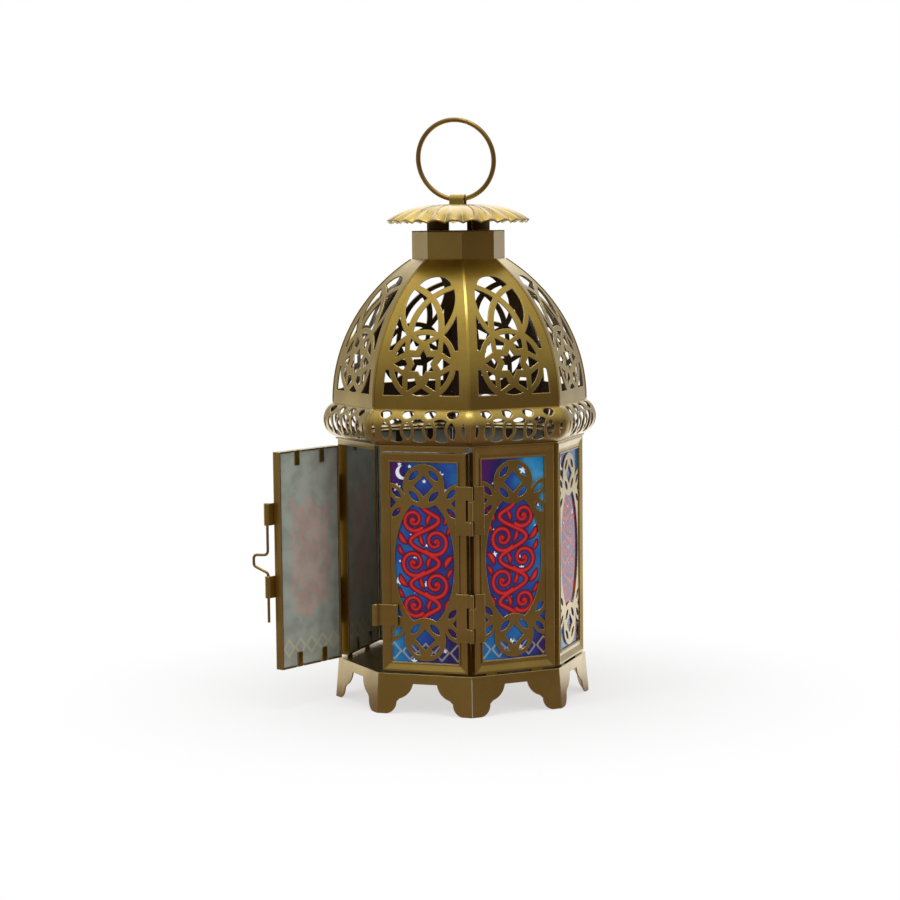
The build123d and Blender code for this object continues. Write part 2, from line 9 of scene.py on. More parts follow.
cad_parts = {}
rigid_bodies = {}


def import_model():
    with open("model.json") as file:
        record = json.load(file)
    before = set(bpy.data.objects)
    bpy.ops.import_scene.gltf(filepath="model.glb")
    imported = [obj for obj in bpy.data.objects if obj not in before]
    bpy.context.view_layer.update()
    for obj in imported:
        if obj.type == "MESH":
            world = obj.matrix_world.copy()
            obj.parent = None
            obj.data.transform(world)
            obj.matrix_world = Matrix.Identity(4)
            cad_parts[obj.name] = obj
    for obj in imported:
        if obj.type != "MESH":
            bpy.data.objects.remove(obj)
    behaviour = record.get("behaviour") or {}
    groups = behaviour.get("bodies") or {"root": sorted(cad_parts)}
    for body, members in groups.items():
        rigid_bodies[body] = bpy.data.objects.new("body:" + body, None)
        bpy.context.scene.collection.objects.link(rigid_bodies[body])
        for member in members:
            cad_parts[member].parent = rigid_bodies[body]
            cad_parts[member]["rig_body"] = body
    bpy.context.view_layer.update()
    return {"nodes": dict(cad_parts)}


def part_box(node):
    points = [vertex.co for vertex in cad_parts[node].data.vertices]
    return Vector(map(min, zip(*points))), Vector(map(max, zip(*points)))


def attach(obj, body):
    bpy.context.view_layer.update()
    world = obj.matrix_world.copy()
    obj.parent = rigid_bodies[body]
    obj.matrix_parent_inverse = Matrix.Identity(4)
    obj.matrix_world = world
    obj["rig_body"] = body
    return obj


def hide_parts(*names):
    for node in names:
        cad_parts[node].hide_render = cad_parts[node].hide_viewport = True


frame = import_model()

# Candle lantern: finishes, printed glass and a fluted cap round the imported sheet-metal frame.
# Metres, +Z up, as in the frame.

MM = 0.001
scene = bpy.context.scene
nodes = frame["nodes"]

# Sizes of the frame that the pieces here line up with
FACETS = 8
FACET_TURN = math.radians(360 / FACETS)
RIGHT_DOOR_FACET = 0
LEFT_DOOR_FACET = 7
SHEET = 0.6 * MM
GLASS_FRONT = 49.4 * MM
GLASS_THICKNESS = 2.0 * MM
DOOR_PANE_HALF_WIDTH = 18.485 * MM
SIDE_PANE_HALF_WIDTH = 18.605 * MM
LEFT_DOOR_AXIS = Vector((-52.05 * MM, -21.56 * MM, 0))
LEFT_DOOR_OPEN = math.radians(65)
DOME_BASE = 132 * MM

# Rolled bead round the pierced field of a panel
BEAD_SIZES = {
    "Width": 31.1 * MM,
    "Side Height": 87.1 * MM,
    "Apothem": 50.1 * MM,
    "Bead Radius": 0.42 * MM,
}
BEAD_SIDES = 10

# Folded ridges between the dome's petals, along the arc of the frame's petals
RIDGE_SIZES = {
    "Arc Radius": 75.389 * MM,
    "Arc Centre": -23.289 * MM,
    "Arc Turn": math.radians(55.3),
    "Base Height": DOME_BASE,
    "Fold Width": 1.1 * MM,
    "Fold Depth": 0.5 * MM,
    "Fold Rise": 0.05 * MM,
}
RIDGE_POINTS = 48
FOLD_ANGLE = math.radians(50)

# Fluted cap: rim, rise and flutes as in the frame, with a rounded profile
CAP_SIZES = {
    "Rim Radius": 31.0 * MM,
    "Rim Height": 210.5 * MM,
    "Rise": 7.4 * MM,
    "Roundness": 3.2,
    "Flute Start": 13.0 * MM,
    "Flutes": 24,
    "Flute Depth": 0.55 * MM,
    "Flute Reach": 0.5 * MM,
}
CAP_RINGS = 47
CAP_STEPS = CAP_SIZES["Flutes"] * 12 + 1
MERGE_DISTANCE = 0.001 * MM

# Sprayed paint: clouds and flakes per metre, a painted highlight on cut edges, painted shade on inward
# faces
CLOUD_NOISE = {"Scale": 45.0, "Detail": 4.0, "Roughness": 0.55}
FLAKE_NOISE = {"Scale": 1600.0, "Detail": 2.0, "Roughness": 0.6}
FLAKE_SPREAD = 0.15
MIDDLE_TONES = (0.3, 0.7)
FLAKE_TONES = (0.35, 0.65)
EDGE_SAMPLES = 4
# Range of the softened normal over which the colour turns to the painted edge highlight
EDGE_HIGHLIGHT_RANGE = (0.985, 0.8)
INSIDE_BELOW = -0.5
INSIDE_ROUGHNESS = 0.6
CLOUD_RELIEF = 0.6
RELIEF_HEIGHT = 0.2 * MM
COAT_ROUGHNESS = 0.2
COAT_IOR = 1.6

# Strewn stars: points, their length, least size, soft edge and scatter
STAR_POINTS = 5.0
STAR_SPIKE = 0.42
STAR_LEAST = 0.35
STAR_SOFTNESS = 0.12
STAR_SCATTER = 0.85

# Printed glass: gloss, clouds, and soft edges in millimetres from each printed outline
GLASS_IOR = 1.5
PRINT_ROUGHNESS = 0.14
BACK_ROUGHNESS = 0.3
EDGE_ROUGHNESS = 0.25
EDGE_NOISE = {"Scale": 300.0, "Detail": 3.0}
SKY_NOISE = {"Scale": 0.06, "Detail": 3.0}
SKY_CLOUD_SHARE = 0.55
SKY_STARS = {"Density": 0.15, "Size": 0.95, "Chance": 0.42}
MOON_EDGE = (0.15, -0.15)
TRIM_EDGE = (0.3, -0.1)
TRIM_SHARE = 0.45
OUTLINE_EDGE = (0.55, 0.3)
SCROLL_EDGE = (0.12, -0.1)
SCROLL_SHADE = (-0.1, -0.75)
BACK_NOISE = {"Scale": 0.12, "Detail": 4.0}
BACK_TINT_SHARE = 0.3
BACK_SCROLL_EDGE = (1.8, -1.0)
BACK_SCROLL_SHARE = 0.42
BACK_TRIM_EDGE = (0.7, -0.1)
BACK_TRIM_SHARE = 0.4


# Node helpers

def new_socket(tree, name, direction, kind, value=None):
    socket = tree.interface.new_socket(name=name, in_out=direction, socket_type=kind)
    if value is not None:
        socket.default_value = value
    return socket


def connect(tree, value, socket):
    if isinstance(value, bpy.types.NodeSocket):
        tree.links.new(value, socket)
    else:
        socket.default_value = value


def put(tree, kind, **values):
    """Add a node; keys with a capital set inputs by name, the others set its properties."""
    node = tree.nodes.new(kind)
    for key, value in values.items():
        if key[0].isupper():
            connect(tree, value, node.inputs[key.replace("_", " ")])
        else:
            setattr(node, key, value)
    return node


def maths(tree, operation, *values):
    node = tree.nodes.new("ShaderNodeMath")
    node.operation = operation
    for value, socket in zip(values, node.inputs):
        connect(tree, value, socket)
    return node.outputs[0]


def vector_maths(tree, operation, output, *values):
    node = tree.nodes.new("ShaderNodeVectorMath")
    node.operation = operation
    for value, socket in zip(values, node.inputs):
        connect(tree, value, socket)
    return node.outputs[output]


def mix_colour(tree, share, first, second):
    node = tree.nodes.new("ShaderNodeMix")
    node.data_type = "RGBA"
    connect(tree, share, node.inputs[0])
    connect(tree, first, node.inputs[6])
    connect(tree, second, node.inputs[7])
    return node.outputs[2]


def mix_value(tree, share, first, second):
    node = tree.nodes.new("ShaderNodeMix")
    connect(tree, share, node.inputs[0])
    connect(tree, first, node.inputs[2])
    connect(tree, second, node.inputs[3])
    return node.outputs[0]


def ramp_range(tree, value, low, high, to_low=0.0, to_high=1.0, kind="SMOOTHSTEP"):
    node = tree.nodes.new("ShaderNodeMapRange")
    node.interpolation_type = kind
    for socket, number in zip(node.inputs, (value, low, high, to_low, to_high)):
        connect(tree, number, socket)
    return node.outputs[0]


def srgb(red, green, blue):
    """Colour as read off a screen, 0 to 255, as the linear values that the sockets take."""
    def linear(part):
        part /= 255
        return part / 12.92 if part <= 0.04045 else ((part + 0.055) / 1.055) ** 2.4
    return (linear(red), linear(green), linear(blue), 1.0)


# Shared surface effects

def paint_group():
    """Sprayed metallic paint: slow clouds, a fine flake, a painted highlight on cut edges and painted
    shade on faces inside.
    """
    tree = bpy.data.node_groups.new("sprayed_paint", "ShaderNodeTree")
    new_socket(tree, "Light", "INPUT", "NodeSocketColor", srgb(200, 165, 85))
    new_socket(tree, "Deep", "INPUT", "NodeSocketColor", srgb(150, 112, 48))
    # Edge: pale cream painted highlight along the rounded cut edges
    new_socket(tree, "Edge", "INPUT", "NodeSocketColor", srgb(238, 220, 164))
    # Dark brown painted shade for faces that look into the hollow
    new_socket(tree, "Inside", "INPUT", "NodeSocketColor", srgb(84, 64, 34))
    new_socket(tree, "Smooth", "INPUT", "NodeSocketFloat", 0.3)
    new_socket(tree, "Rough", "INPUT", "NodeSocketFloat", 0.46)
    new_socket(tree, "Edge Round", "INPUT", "NodeSocketFloat", 0.5 * MM)
    new_socket(tree, "Relief", "INPUT", "NodeSocketFloat", 0.05)
    new_socket(tree, "Hollow Centre", "INPUT", "NodeSocketVector")
    new_socket(tree, "Hollow Axes", "INPUT", "NodeSocketVector")
    new_socket(tree, "Color", "OUTPUT", "NodeSocketColor")
    new_socket(tree, "Roughness", "OUTPUT", "NodeSocketFloat")
    new_socket(tree, "Normal", "OUTPUT", "NodeSocketVector")
    given = tree.nodes.new("NodeGroupInput").outputs
    spot = tree.nodes.new("ShaderNodeTexCoord").outputs
    place = spot["Object"]
    cloud = put(tree, "ShaderNodeTexNoise", Vector=place, **CLOUD_NOISE)
    flake = put(tree, "ShaderNodeTexNoise", Vector=place, **FLAKE_NOISE)
    tone = ramp_range(tree, cloud.outputs[0], *MIDDLE_TONES)
    spark = ramp_range(tree, flake.outputs[0], *FLAKE_TONES, -FLAKE_SPREAD, FLAKE_SPREAD)
    share = maths(tree, "ADD", tone, spark)
    colour = mix_colour(tree, share, given["Deep"], given["Light"])
    rough = ramp_range(tree, share, 0.0, 1.0, given["Rough"], given["Smooth"], "LINEAR")

    softened = put(tree, "ShaderNodeBevel", samples=EDGE_SAMPLES, Radius=given["Edge Round"]).outputs[0]
    straight = tree.nodes.new("ShaderNodeNewGeometry").outputs["Normal"]
    along = vector_maths(tree, "DOT_PRODUCT", "Value", softened, straight)
    # Painted highlight: pale cream where the softened normal leans away from the face, at cut edges
    painted_edge_highlight = ramp_range(tree, along, *EDGE_HIGHLIGHT_RANGE)
    colour = mix_colour(tree, painted_edge_highlight, colour, given["Edge"])

    # Painted shade: faces that look in towards the hollow take the dark brown painted shade colour, with a
    # rougher gloss
    away = vector_maths(tree, "SUBTRACT", "Vector", place, given["Hollow Centre"])
    away = vector_maths(tree, "MULTIPLY", "Vector", away, given["Hollow Axes"])
    away = vector_maths(tree, "NORMALIZE", "Vector", away)
    facing = vector_maths(tree, "DOT_PRODUCT", "Value", away, spot["Normal"])
    painted_inside_shade = maths(tree, "LESS_THAN", facing, INSIDE_BELOW)
    height = maths(tree, "MULTIPLY_ADD", cloud.outputs[0], CLOUD_RELIEF, flake.outputs[0])
    relief = put(
        tree, "ShaderNodeBump", Strength=given["Relief"], Distance=RELIEF_HEIGHT, Height=height,
        Normal=softened,
    )
    out = tree.nodes.new("NodeGroupOutput").inputs
    tree.links.new(mix_colour(tree, painted_inside_shade, colour, given["Inside"]), out["Color"])
    tree.links.new(mix_value(tree, painted_inside_shade, rough, INSIDE_ROUGHNESS), out["Roughness"])
    tree.links.new(relief.outputs[0], out["Normal"])
    return tree


def star_group():
    """Small five-pointed stars strewn at random over a flat coordinate."""
    tree = bpy.data.node_groups.new("strewn_stars", "ShaderNodeTree")
    new_socket(tree, "Place", "INPUT", "NodeSocketVector")
    new_socket(tree, "Density", "INPUT", "NodeSocketFloat", 0.16)
    new_socket(tree, "Size", "INPUT", "NodeSocketFloat", 1.0)
    new_socket(tree, "Chance", "INPUT", "NodeSocketFloat", 0.4)
    new_socket(tree, "Mask", "OUTPUT", "NodeSocketFloat")
    given = tree.nodes.new("NodeGroupInput").outputs
    cells = put(
        tree, "ShaderNodeTexVoronoi", voronoi_dimensions="2D", Vector=given["Place"],
        Scale=given["Density"], Randomness=STAR_SCATTER,
    )
    away = vector_maths(tree, "SUBTRACT", "Vector", given["Place"], cells.outputs["Position"])
    parts = put(tree, "ShaderNodeSeparateXYZ", Vector=away).outputs
    reach = vector_maths(tree, "LENGTH", "Value", away)
    angle = maths(tree, "ARCTAN2", parts[0], parts[1])
    points = maths(tree, "COSINE", maths(tree, "MULTIPLY", angle, STAR_POINTS))
    spread = maths(tree, "MULTIPLY_ADD", points, STAR_SPIKE, 1.0)
    chance = put(tree, "ShaderNodeSeparateColor", Color=cells.outputs["Color"]).outputs
    size = maths(tree, "MULTIPLY", given["Size"], maths(tree, "ADD", STAR_LEAST, chance[1]))
    edge = maths(tree, "SUBTRACT", maths(tree, "MULTIPLY", size, spread), reach)
    shape = ramp_range(tree, edge, -STAR_SOFTNESS, STAR_SOFTNESS)
    kept = maths(tree, "LESS_THAN", chance[0], given["Chance"])
    out = tree.nodes.new("NodeGroupOutput").inputs
    tree.links.new(maths(tree, "MULTIPLY", shape, kept), out["Mask"])
    return tree


PAINT = paint_group()
STARS = star_group()


# Materials

def new_material(name):
    material = bpy.data.materials.new(name)
    material.use_nodes = True
    tree = material.node_tree
    return material, tree, tree.nodes["Principled BSDF"]


def placed_group(tree, group, **values):
    holder = tree.nodes.new("ShaderNodeGroup")
    holder.node_tree = group
    for key, value in values.items():
        connect(tree, value, holder.inputs[key])
    return holder.outputs


def gold_paint(name, coat, **looks):
    material, tree, shader = new_material(name)
    paint = placed_group(tree, PAINT, **{key.replace("_", " "): value for key, value in looks.items()})
    tree.links.new(paint["Color"], shader.inputs["Base Color"])
    tree.links.new(paint["Roughness"], shader.inputs["Roughness"])
    tree.links.new(paint["Normal"], shader.inputs["Normal"])
    shader.inputs["Metallic"].default_value = 1.0
    shader.inputs["Coat Weight"].default_value = coat
    shader.inputs["Coat Roughness"].default_value = COAT_ROUGHNESS
    shader.inputs["Coat IOR"].default_value = COAT_IOR
    return material


SHEET_TONES = {"Light": srgb(190, 163, 72), "Deep": srgb(172, 143, 54), "Smooth": 0.30, "Rough": 0.37}
WIRE_TONES = {
    "Light": srgb(172, 144, 78), "Deep": srgb(160, 130, 66), "Smooth": 0.32, "Rough": 0.4, "Relief": 0.02,
}
# Vent sleeve in dark brown: painted shade of the shadow under the cap
SLEEVE_SHADE_TONES = {"Light": srgb(92, 70, 36), "Deep": srgb(66, 48, 24), "Smooth": 0.45, "Rough": 0.6}

SHEET_GOLD = gold_paint("antique_gold_sheet", coat=1.0, **SHEET_TONES)
HOLLOW_GOLD = gold_paint("antique_gold_hollow_sheet", coat=1.0, Hollow_Axes=(1, 1, 0), **SHEET_TONES)
DOME_GOLD = gold_paint(
    "antique_gold_dome", coat=0.7, Hollow_Centre=(0, 0, DOME_BASE), Hollow_Axes=(1, 1, 1), **SHEET_TONES
)
FOLD_GOLD = gold_paint("antique_gold_fold", coat=0.7, Edge_Round=0.1 * MM, **SHEET_TONES)
WIRE_GOLD = gold_paint("antique_gold_wire", coat=0.3, **WIRE_TONES)
# Dark brown sleeve finish: painted shade under the cap
SLEEVE_SHADED_GOLD = gold_paint("painted_shade_sleeve", coat=0.0, **SLEEVE_SHADE_TONES)

SKY_STOPS = (
    (0.14, (84, 16, 88)),
    (0.34, (34, 24, 84)),
    (0.52, (28, 62, 136)),
    (0.72, (22, 112, 164)),
    (0.95, (88, 168, 204)),
)
PRINT_COLOURS = {
    "star": srgb(232, 236, 244),
    "moon": srgb(228, 232, 240),
    "trim": srgb(200, 184, 120),
    "outline": srgb(66, 12, 40),
    "deep red": srgb(136, 16, 26),
    "red": srgb(196, 38, 38),
}
BACK_COLOURS = {
    "dull": srgb(138, 142, 126),
    "pale": srgb(164, 168, 152),
    "warm": srgb(160, 146, 152),
    "cool": srgb(150, 170, 170),
    "blush": srgb(204, 140, 130),
    "trim": srgb(206, 198, 146),
}
EDGE_COLOURS = {"deep": srgb(150, 172, 160), "pale": srgb(196, 210, 202)}


def pane_place(tree):
    """Place on a pane in millimetres, from its own UV map."""
    return put(tree, "ShaderNodeUVMap", uv_map="pane").outputs[0]


def print_field(tree, name):
    """Distance or tone that the pane's mesh carries for one part of the print."""
    return put(tree, "ShaderNodeAttribute", attribute_name=name).outputs["Fac"]


def printed_front():
    """Night sky printed on the glass, with a red scroll that follows the pane's own field."""
    material, tree, shader = new_material("printed_glass_front")
    place = pane_place(tree)
    cloud = put(tree, "ShaderNodeTexNoise", noise_dimensions="2D", Vector=place, **SKY_NOISE)
    centred = maths(tree, "SUBTRACT", cloud.outputs[0], 0.5)
    cloudy = maths(tree, "MULTIPLY_ADD", centred, SKY_CLOUD_SHARE, print_field(tree, "sky"))
    sky = put(tree, "ShaderNodeValToRGB", Fac=cloudy)
    ramp = sky.color_ramp
    while len(ramp.elements) < len(SKY_STOPS):
        ramp.elements.new(0.5)
    for stop, (at, colour) in zip(ramp.elements, SKY_STOPS):
        stop.position = at
        stop.color = srgb(*colour)
    stars = placed_group(tree, STARS, Place=place, **SKY_STARS)
    colour = mix_colour(tree, stars["Mask"], sky.outputs[0], PRINT_COLOURS["star"])
    moon = ramp_range(tree, print_field(tree, "moon"), *MOON_EDGE)
    colour = mix_colour(tree, moon, colour, PRINT_COLOURS["moon"])
    trim = ramp_range(tree, print_field(tree, "trim"), *TRIM_EDGE, 0.0, TRIM_SHARE)
    colour = mix_colour(tree, trim, colour, PRINT_COLOURS["trim"])
    field = print_field(tree, "scroll")
    colour = mix_colour(tree, ramp_range(tree, field, *OUTLINE_EDGE), colour, PRINT_COLOURS["outline"])
    shade = ramp_range(tree, field, *SCROLL_SHADE)
    red = mix_colour(tree, shade, PRINT_COLOURS["deep red"], PRINT_COLOURS["red"])
    colour = mix_colour(tree, ramp_range(tree, field, *SCROLL_EDGE), colour, red)
    tree.links.new(colour, shader.inputs["Base Color"])
    shader.inputs["Roughness"].default_value = PRINT_ROUGHNESS
    shader.inputs["IOR"].default_value = GLASS_IOR
    return material


def milky_back():
    """Back of the printed glass: pale and cloudy, with the red design showing through faintly."""
    material, tree, shader = new_material("milky_glass_back")
    cloud = put(tree, "ShaderNodeTexNoise", noise_dimensions="2D", Vector=pane_place(tree), **BACK_NOISE)
    tone = ramp_range(tree, cloud.outputs[0], *MIDDLE_TONES)
    colour = mix_colour(tree, tone, BACK_COLOURS["dull"], BACK_COLOURS["pale"])
    tint = mix_colour(tree, print_field(tree, "sky"), BACK_COLOURS["warm"], BACK_COLOURS["cool"])
    colour = mix_colour(tree, BACK_TINT_SHARE, colour, tint)
    faint = ramp_range(tree, print_field(tree, "scroll"), *BACK_SCROLL_EDGE, 0.0, BACK_SCROLL_SHARE)
    colour = mix_colour(tree, faint, colour, BACK_COLOURS["blush"])
    trim = ramp_range(tree, print_field(tree, "trim"), *BACK_TRIM_EDGE, 0.0, BACK_TRIM_SHARE)
    colour = mix_colour(tree, trim, colour, BACK_COLOURS["trim"])
    tree.links.new(colour, shader.inputs["Base Color"])
    shader.inputs["Roughness"].default_value = BACK_ROUGHNESS
    shader.inputs["IOR"].default_value = GLASS_IOR
    return material


def glass_edge():
    """Cut edge of the panes, pale green and slightly uneven."""
    material, tree, shader = new_material("cut_glass_edge")
    place = tree.nodes.new("ShaderNodeTexCoord").outputs["Object"]
    ripple = put(tree, "ShaderNodeTexNoise", Vector=place, **EDGE_NOISE)
    tone = ramp_range(tree, ripple.outputs[0], *MIDDLE_TONES)
    colour = mix_colour(tree, tone, EDGE_COLOURS["deep"], EDGE_COLOURS["pale"])
    tree.links.new(colour, shader.inputs["Base Color"])
    shader.inputs["Roughness"].default_value = EDGE_ROUGHNESS
    return material


PRINT_FRONT = printed_front()
MILKY_BACK = milky_back()
GLASS_EDGE = glass_edge()


# Pieces

def link_mesh(name, mesh):
    piece = bpy.data.objects.new(name, mesh)
    scene.collection.objects.link(piece)
    return piece


def applied(piece):
    """Turn the piece with its modifiers into a plain mesh."""
    graph = bpy.context.evaluated_depsgraph_get()
    mesh = bpy.data.meshes.new_from_object(piece.evaluated_get(graph), depsgraph=graph)
    piece.modifiers.clear()
    old = piece.data
    piece.data = mesh
    bpy.data.meshes.remove(old)
    return mesh


def grown(name, tree, values):
    """New piece with a Geometry Nodes modifier whose inputs have these values."""
    piece = link_mesh(name, bpy.data.meshes.new(name))
    modifier = piece.modifiers.new(tree.name, "NODES")
    modifier.node_group = tree
    for socket in tree.interface.items_tree:
        if socket.in_out == "INPUT":
            modifier[socket.identifier] = values[socket.name]
    return piece


def new_geometry_tree(name, sizes):
    """Geometry Nodes tree with a named input for each size, a finish and a geometry output."""
    tree = bpy.data.node_groups.new(name, "GeometryNodeTree")
    for size, value in sizes.items():
        kind = "NodeSocketInt" if isinstance(value, int) else "NodeSocketFloat"
        new_socket(tree, size, "INPUT", kind, value)
    new_socket(tree, "Finish", "INPUT", "NodeSocketMaterial")
    new_socket(tree, "Geometry", "OUTPUT", "NodeSocketGeometry")
    return tree, tree.nodes.new("NodeGroupInput").outputs


def finish_tree(tree, geometry, finish):
    """End of a tree: real geometry, smooth apart from folds, one finish."""
    smooth = put(tree, "GeometryNodeSetShadeSmooth", Geometry=geometry)
    bend = tree.nodes.new("GeometryNodeInputMeshEdgeAngle").outputs[0]
    folded = maths(tree, "GREATER_THAN", bend, FOLD_ANGLE)
    sharp = put(
        tree, "GeometryNodeSetShadeSmooth", domain="EDGE", Geometry=smooth.outputs[0], Selection=folded,
        Shade_Smooth=False,
    )
    whole = put(tree, "GeometryNodeRealizeInstances", Geometry=sharp.outputs[0])
    done = put(tree, "GeometryNodeSetMaterial", Geometry=whole.outputs[0], Material=finish)
    out = tree.nodes.new("NodeGroupOutput").inputs
    tree.links.new(done.outputs[0], out["Geometry"])


def round_axis(tree, geometry, count, first):
    """Copies of the geometry one facet apart round the lantern's axis."""
    points = put(tree, "GeometryNodePoints", Count=count)
    number = tree.nodes.new("GeometryNodeInputIndex").outputs[0]
    turn = put(tree, "ShaderNodeCombineXYZ", Z=maths(tree, "MULTIPLY_ADD", number, FACET_TURN, first))
    copies = put(
        tree, "GeometryNodeInstanceOnPoints", Points=points.outputs[0], Instance=geometry,
        Rotation=turn.outputs[0],
    )
    return copies.outputs[0]


def stands_for(piece, node):
    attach(piece, nodes[node]["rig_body"])
    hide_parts(node)


FINISHES = {
    "hanging_ring": WIRE_GOLD,
    "latch_bolt": WIRE_GOLD,
    "vent_sleeve": SLEEVE_SHADED_GOLD,
    "collar": HOLLOW_GOLD,
}
STEM_FINISHES = {"side_panel_": HOLLOW_GOLD, "gallery_band_": HOLLOW_GOLD, "dome_petal_": DOME_GOLD}


def node_finish(name):
    if name.endswith("_pin"):
        return WIRE_GOLD
    if name.endswith("_pane") or "_pane_" in name:
        return GLASS_EDGE
    for stem, finish in STEM_FINISHES.items():
        if name.startswith(stem):
            return finish
    return FINISHES.get(name, SHEET_GOLD)


for name, node in nodes.items():
    node.data.materials.clear()
    node.data.materials.append(node_finish(name))


# Fluted cap

def cap_tree():
    """Round sheet cap: a domed profile turned about the axis, with lobes that grow towards its rim."""
    tree, given = new_geometry_tree("fluted_cap", CAP_SIZES)
    grid = put(
        tree, "GeometryNodeMeshGrid", Size_X=1.0, Size_Y=1.0, Vertices_X=CAP_RINGS, Vertices_Y=CAP_STEPS,
    )
    place = tree.nodes.new("GeometryNodeInputPosition").outputs[0]
    parts = put(tree, "ShaderNodeSeparateXYZ", Vector=place).outputs
    radius = maths(tree, "MULTIPLY", maths(tree, "SUBTRACT", 0.5, parts[0]), given["Rim Radius"])
    angle = maths(tree, "MULTIPLY", parts[1], -math.tau)
    fall = maths(tree, "POWER", maths(tree, "DIVIDE", radius, given["Rim Radius"]), given["Roundness"])
    crown = maths(tree, "ADD", given["Rim Height"], given["Rise"])
    level = maths(tree, "SUBTRACT", crown, maths(tree, "MULTIPLY", fall, given["Rise"]))
    share = ramp_range(tree, radius, given["Flute Start"], given["Rim Radius"], kind="LINEAR")
    half_turn = maths(tree, "MULTIPLY", maths(tree, "MULTIPLY", angle, given["Flutes"]), 0.5)
    lobe = maths(tree, "ABSOLUTE", maths(tree, "COSINE", half_turn))
    wave = maths(tree, "MULTIPLY", maths(tree, "MULTIPLY_ADD", lobe, 2.0, -1.0), share)
    reach = maths(tree, "MULTIPLY_ADD", wave, given["Flute Reach"], radius)
    height = maths(tree, "MULTIPLY_ADD", wave, given["Flute Depth"], level)
    across = maths(tree, "MULTIPLY", reach, maths(tree, "COSINE", angle))
    along = maths(tree, "MULTIPLY", reach, maths(tree, "SINE", angle))
    turned = put(tree, "ShaderNodeCombineXYZ", X=across, Y=along, Z=height)
    moved = put(tree, "GeometryNodeSetPosition", Geometry=grid.outputs[0], Position=turned.outputs[0])
    closed = put(tree, "GeometryNodeMergeByDistance", Geometry=moved.outputs[0], Distance=MERGE_DISTANCE)
    finish_tree(tree, closed.outputs[0], given["Finish"])
    return tree


def add_cap():
    piece = grown("cap_fluted", cap_tree(), {**CAP_SIZES, "Finish": SHEET_GOLD})
    wall = piece.modifiers.new("sheet", "SOLIDIFY")
    wall.thickness = SHEET
    wall.offset = -1.0
    wall.use_even_offset = True
    applied(piece)
    stands_for(piece, "cap")


add_cap()


# Rolled beads of the panels and folded ridges of the dome

def bead_tree():
    """Round bead along a rectangle on facet 0, repeated round the axis."""
    tree, given = new_geometry_tree("rolled_bead", {**BEAD_SIZES, "Middle": 0.0, "Count": 1})
    line = put(
        tree, "GeometryNodeCurvePrimitiveQuadrilateral", Width=given["Width"], Height=given["Side Height"],
    )
    wire = put(
        tree, "GeometryNodeCurvePrimitiveCircle", Resolution=BEAD_SIDES, Radius=given["Bead Radius"],
    )
    bead = put(tree, "GeometryNodeCurveToMesh", Curve=line.outputs[0], Profile_Curve=wire.outputs[0])
    outward = maths(tree, "MULTIPLY", given["Apothem"], -1.0)
    place = put(tree, "ShaderNodeCombineXYZ", Y=outward, Z=given["Middle"])
    upright = put(
        tree, "GeometryNodeTransform", Geometry=bead.outputs[0], Translation=place.outputs[0],
        Rotation=(math.pi / 2, 0, 0),
    )
    finish_tree(tree, round_axis(tree, upright.outputs[0], given["Count"], 0.0), given["Finish"])
    return tree


def ridge_tree():
    """Flat fold along each corner of the dome, following the petals' arc."""
    tree, given = new_geometry_tree("folded_ridge", RIDGE_SIZES)
    arc = put(
        tree, "GeometryNodeCurveArc", Resolution=RIDGE_POINTS, Radius=given["Arc Radius"], Start_Angle=0.0,
        Sweep_Angle=given["Arc Turn"],
    )
    place = tree.nodes.new("GeometryNodeInputPosition").outputs[0]
    parts = put(tree, "ShaderNodeSeparateXYZ", Vector=place).outputs
    apothem = maths(tree, "ADD", parts[0], given["Arc Centre"])
    sunk = maths(tree, "MULTIPLY_ADD", given["Fold Depth"], -0.5, given["Fold Rise"])
    corner = maths(tree, "MULTIPLY_ADD", apothem, 1 / math.cos(FACET_TURN / 2), sunk)
    height = maths(tree, "ADD", parts[1], given["Base Height"])
    upright = put(tree, "ShaderNodeCombineXYZ", X=corner, Z=height)
    line = put(tree, "GeometryNodeSetPosition", Geometry=arc.outputs[0], Position=upright.outputs[0])
    section = put(
        tree, "GeometryNodeCurvePrimitiveQuadrilateral", Width=given["Fold Width"],
        Height=given["Fold Depth"],
    )
    fold = put(
        tree, "GeometryNodeCurveToMesh", Curve=line.outputs[0], Profile_Curve=section.outputs[0],
        Fill_Caps=True,
    )
    copies = round_axis(tree, fold.outputs[0], FACETS, FACET_TURN / 2)
    finish_tree(tree, copies, given["Finish"])
    return tree


def add_bead(name, node, count, turn):
    """Beads for the panels of one body; the node gives their middle height."""
    low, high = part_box(node)
    values = {**BEAD_SIZES, "Middle": (low.z + high.z) / 2, "Count": count, "Finish": SHEET_GOLD}
    piece = grown(name, BEAD, values)
    applied(piece).transform(Matrix(turn))
    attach(piece, nodes[node]["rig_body"])


def add_ridges():
    piece = grown("dome_ridges", ridge_tree(), {**RIDGE_SIZES, "Finish": FOLD_GOLD})
    applied(piece)
    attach(piece, nodes["dome_petal_0"]["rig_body"])


BEAD = bead_tree()
add_ridges()


# Printed glass: its design in millimetres and degrees from the pane's middle

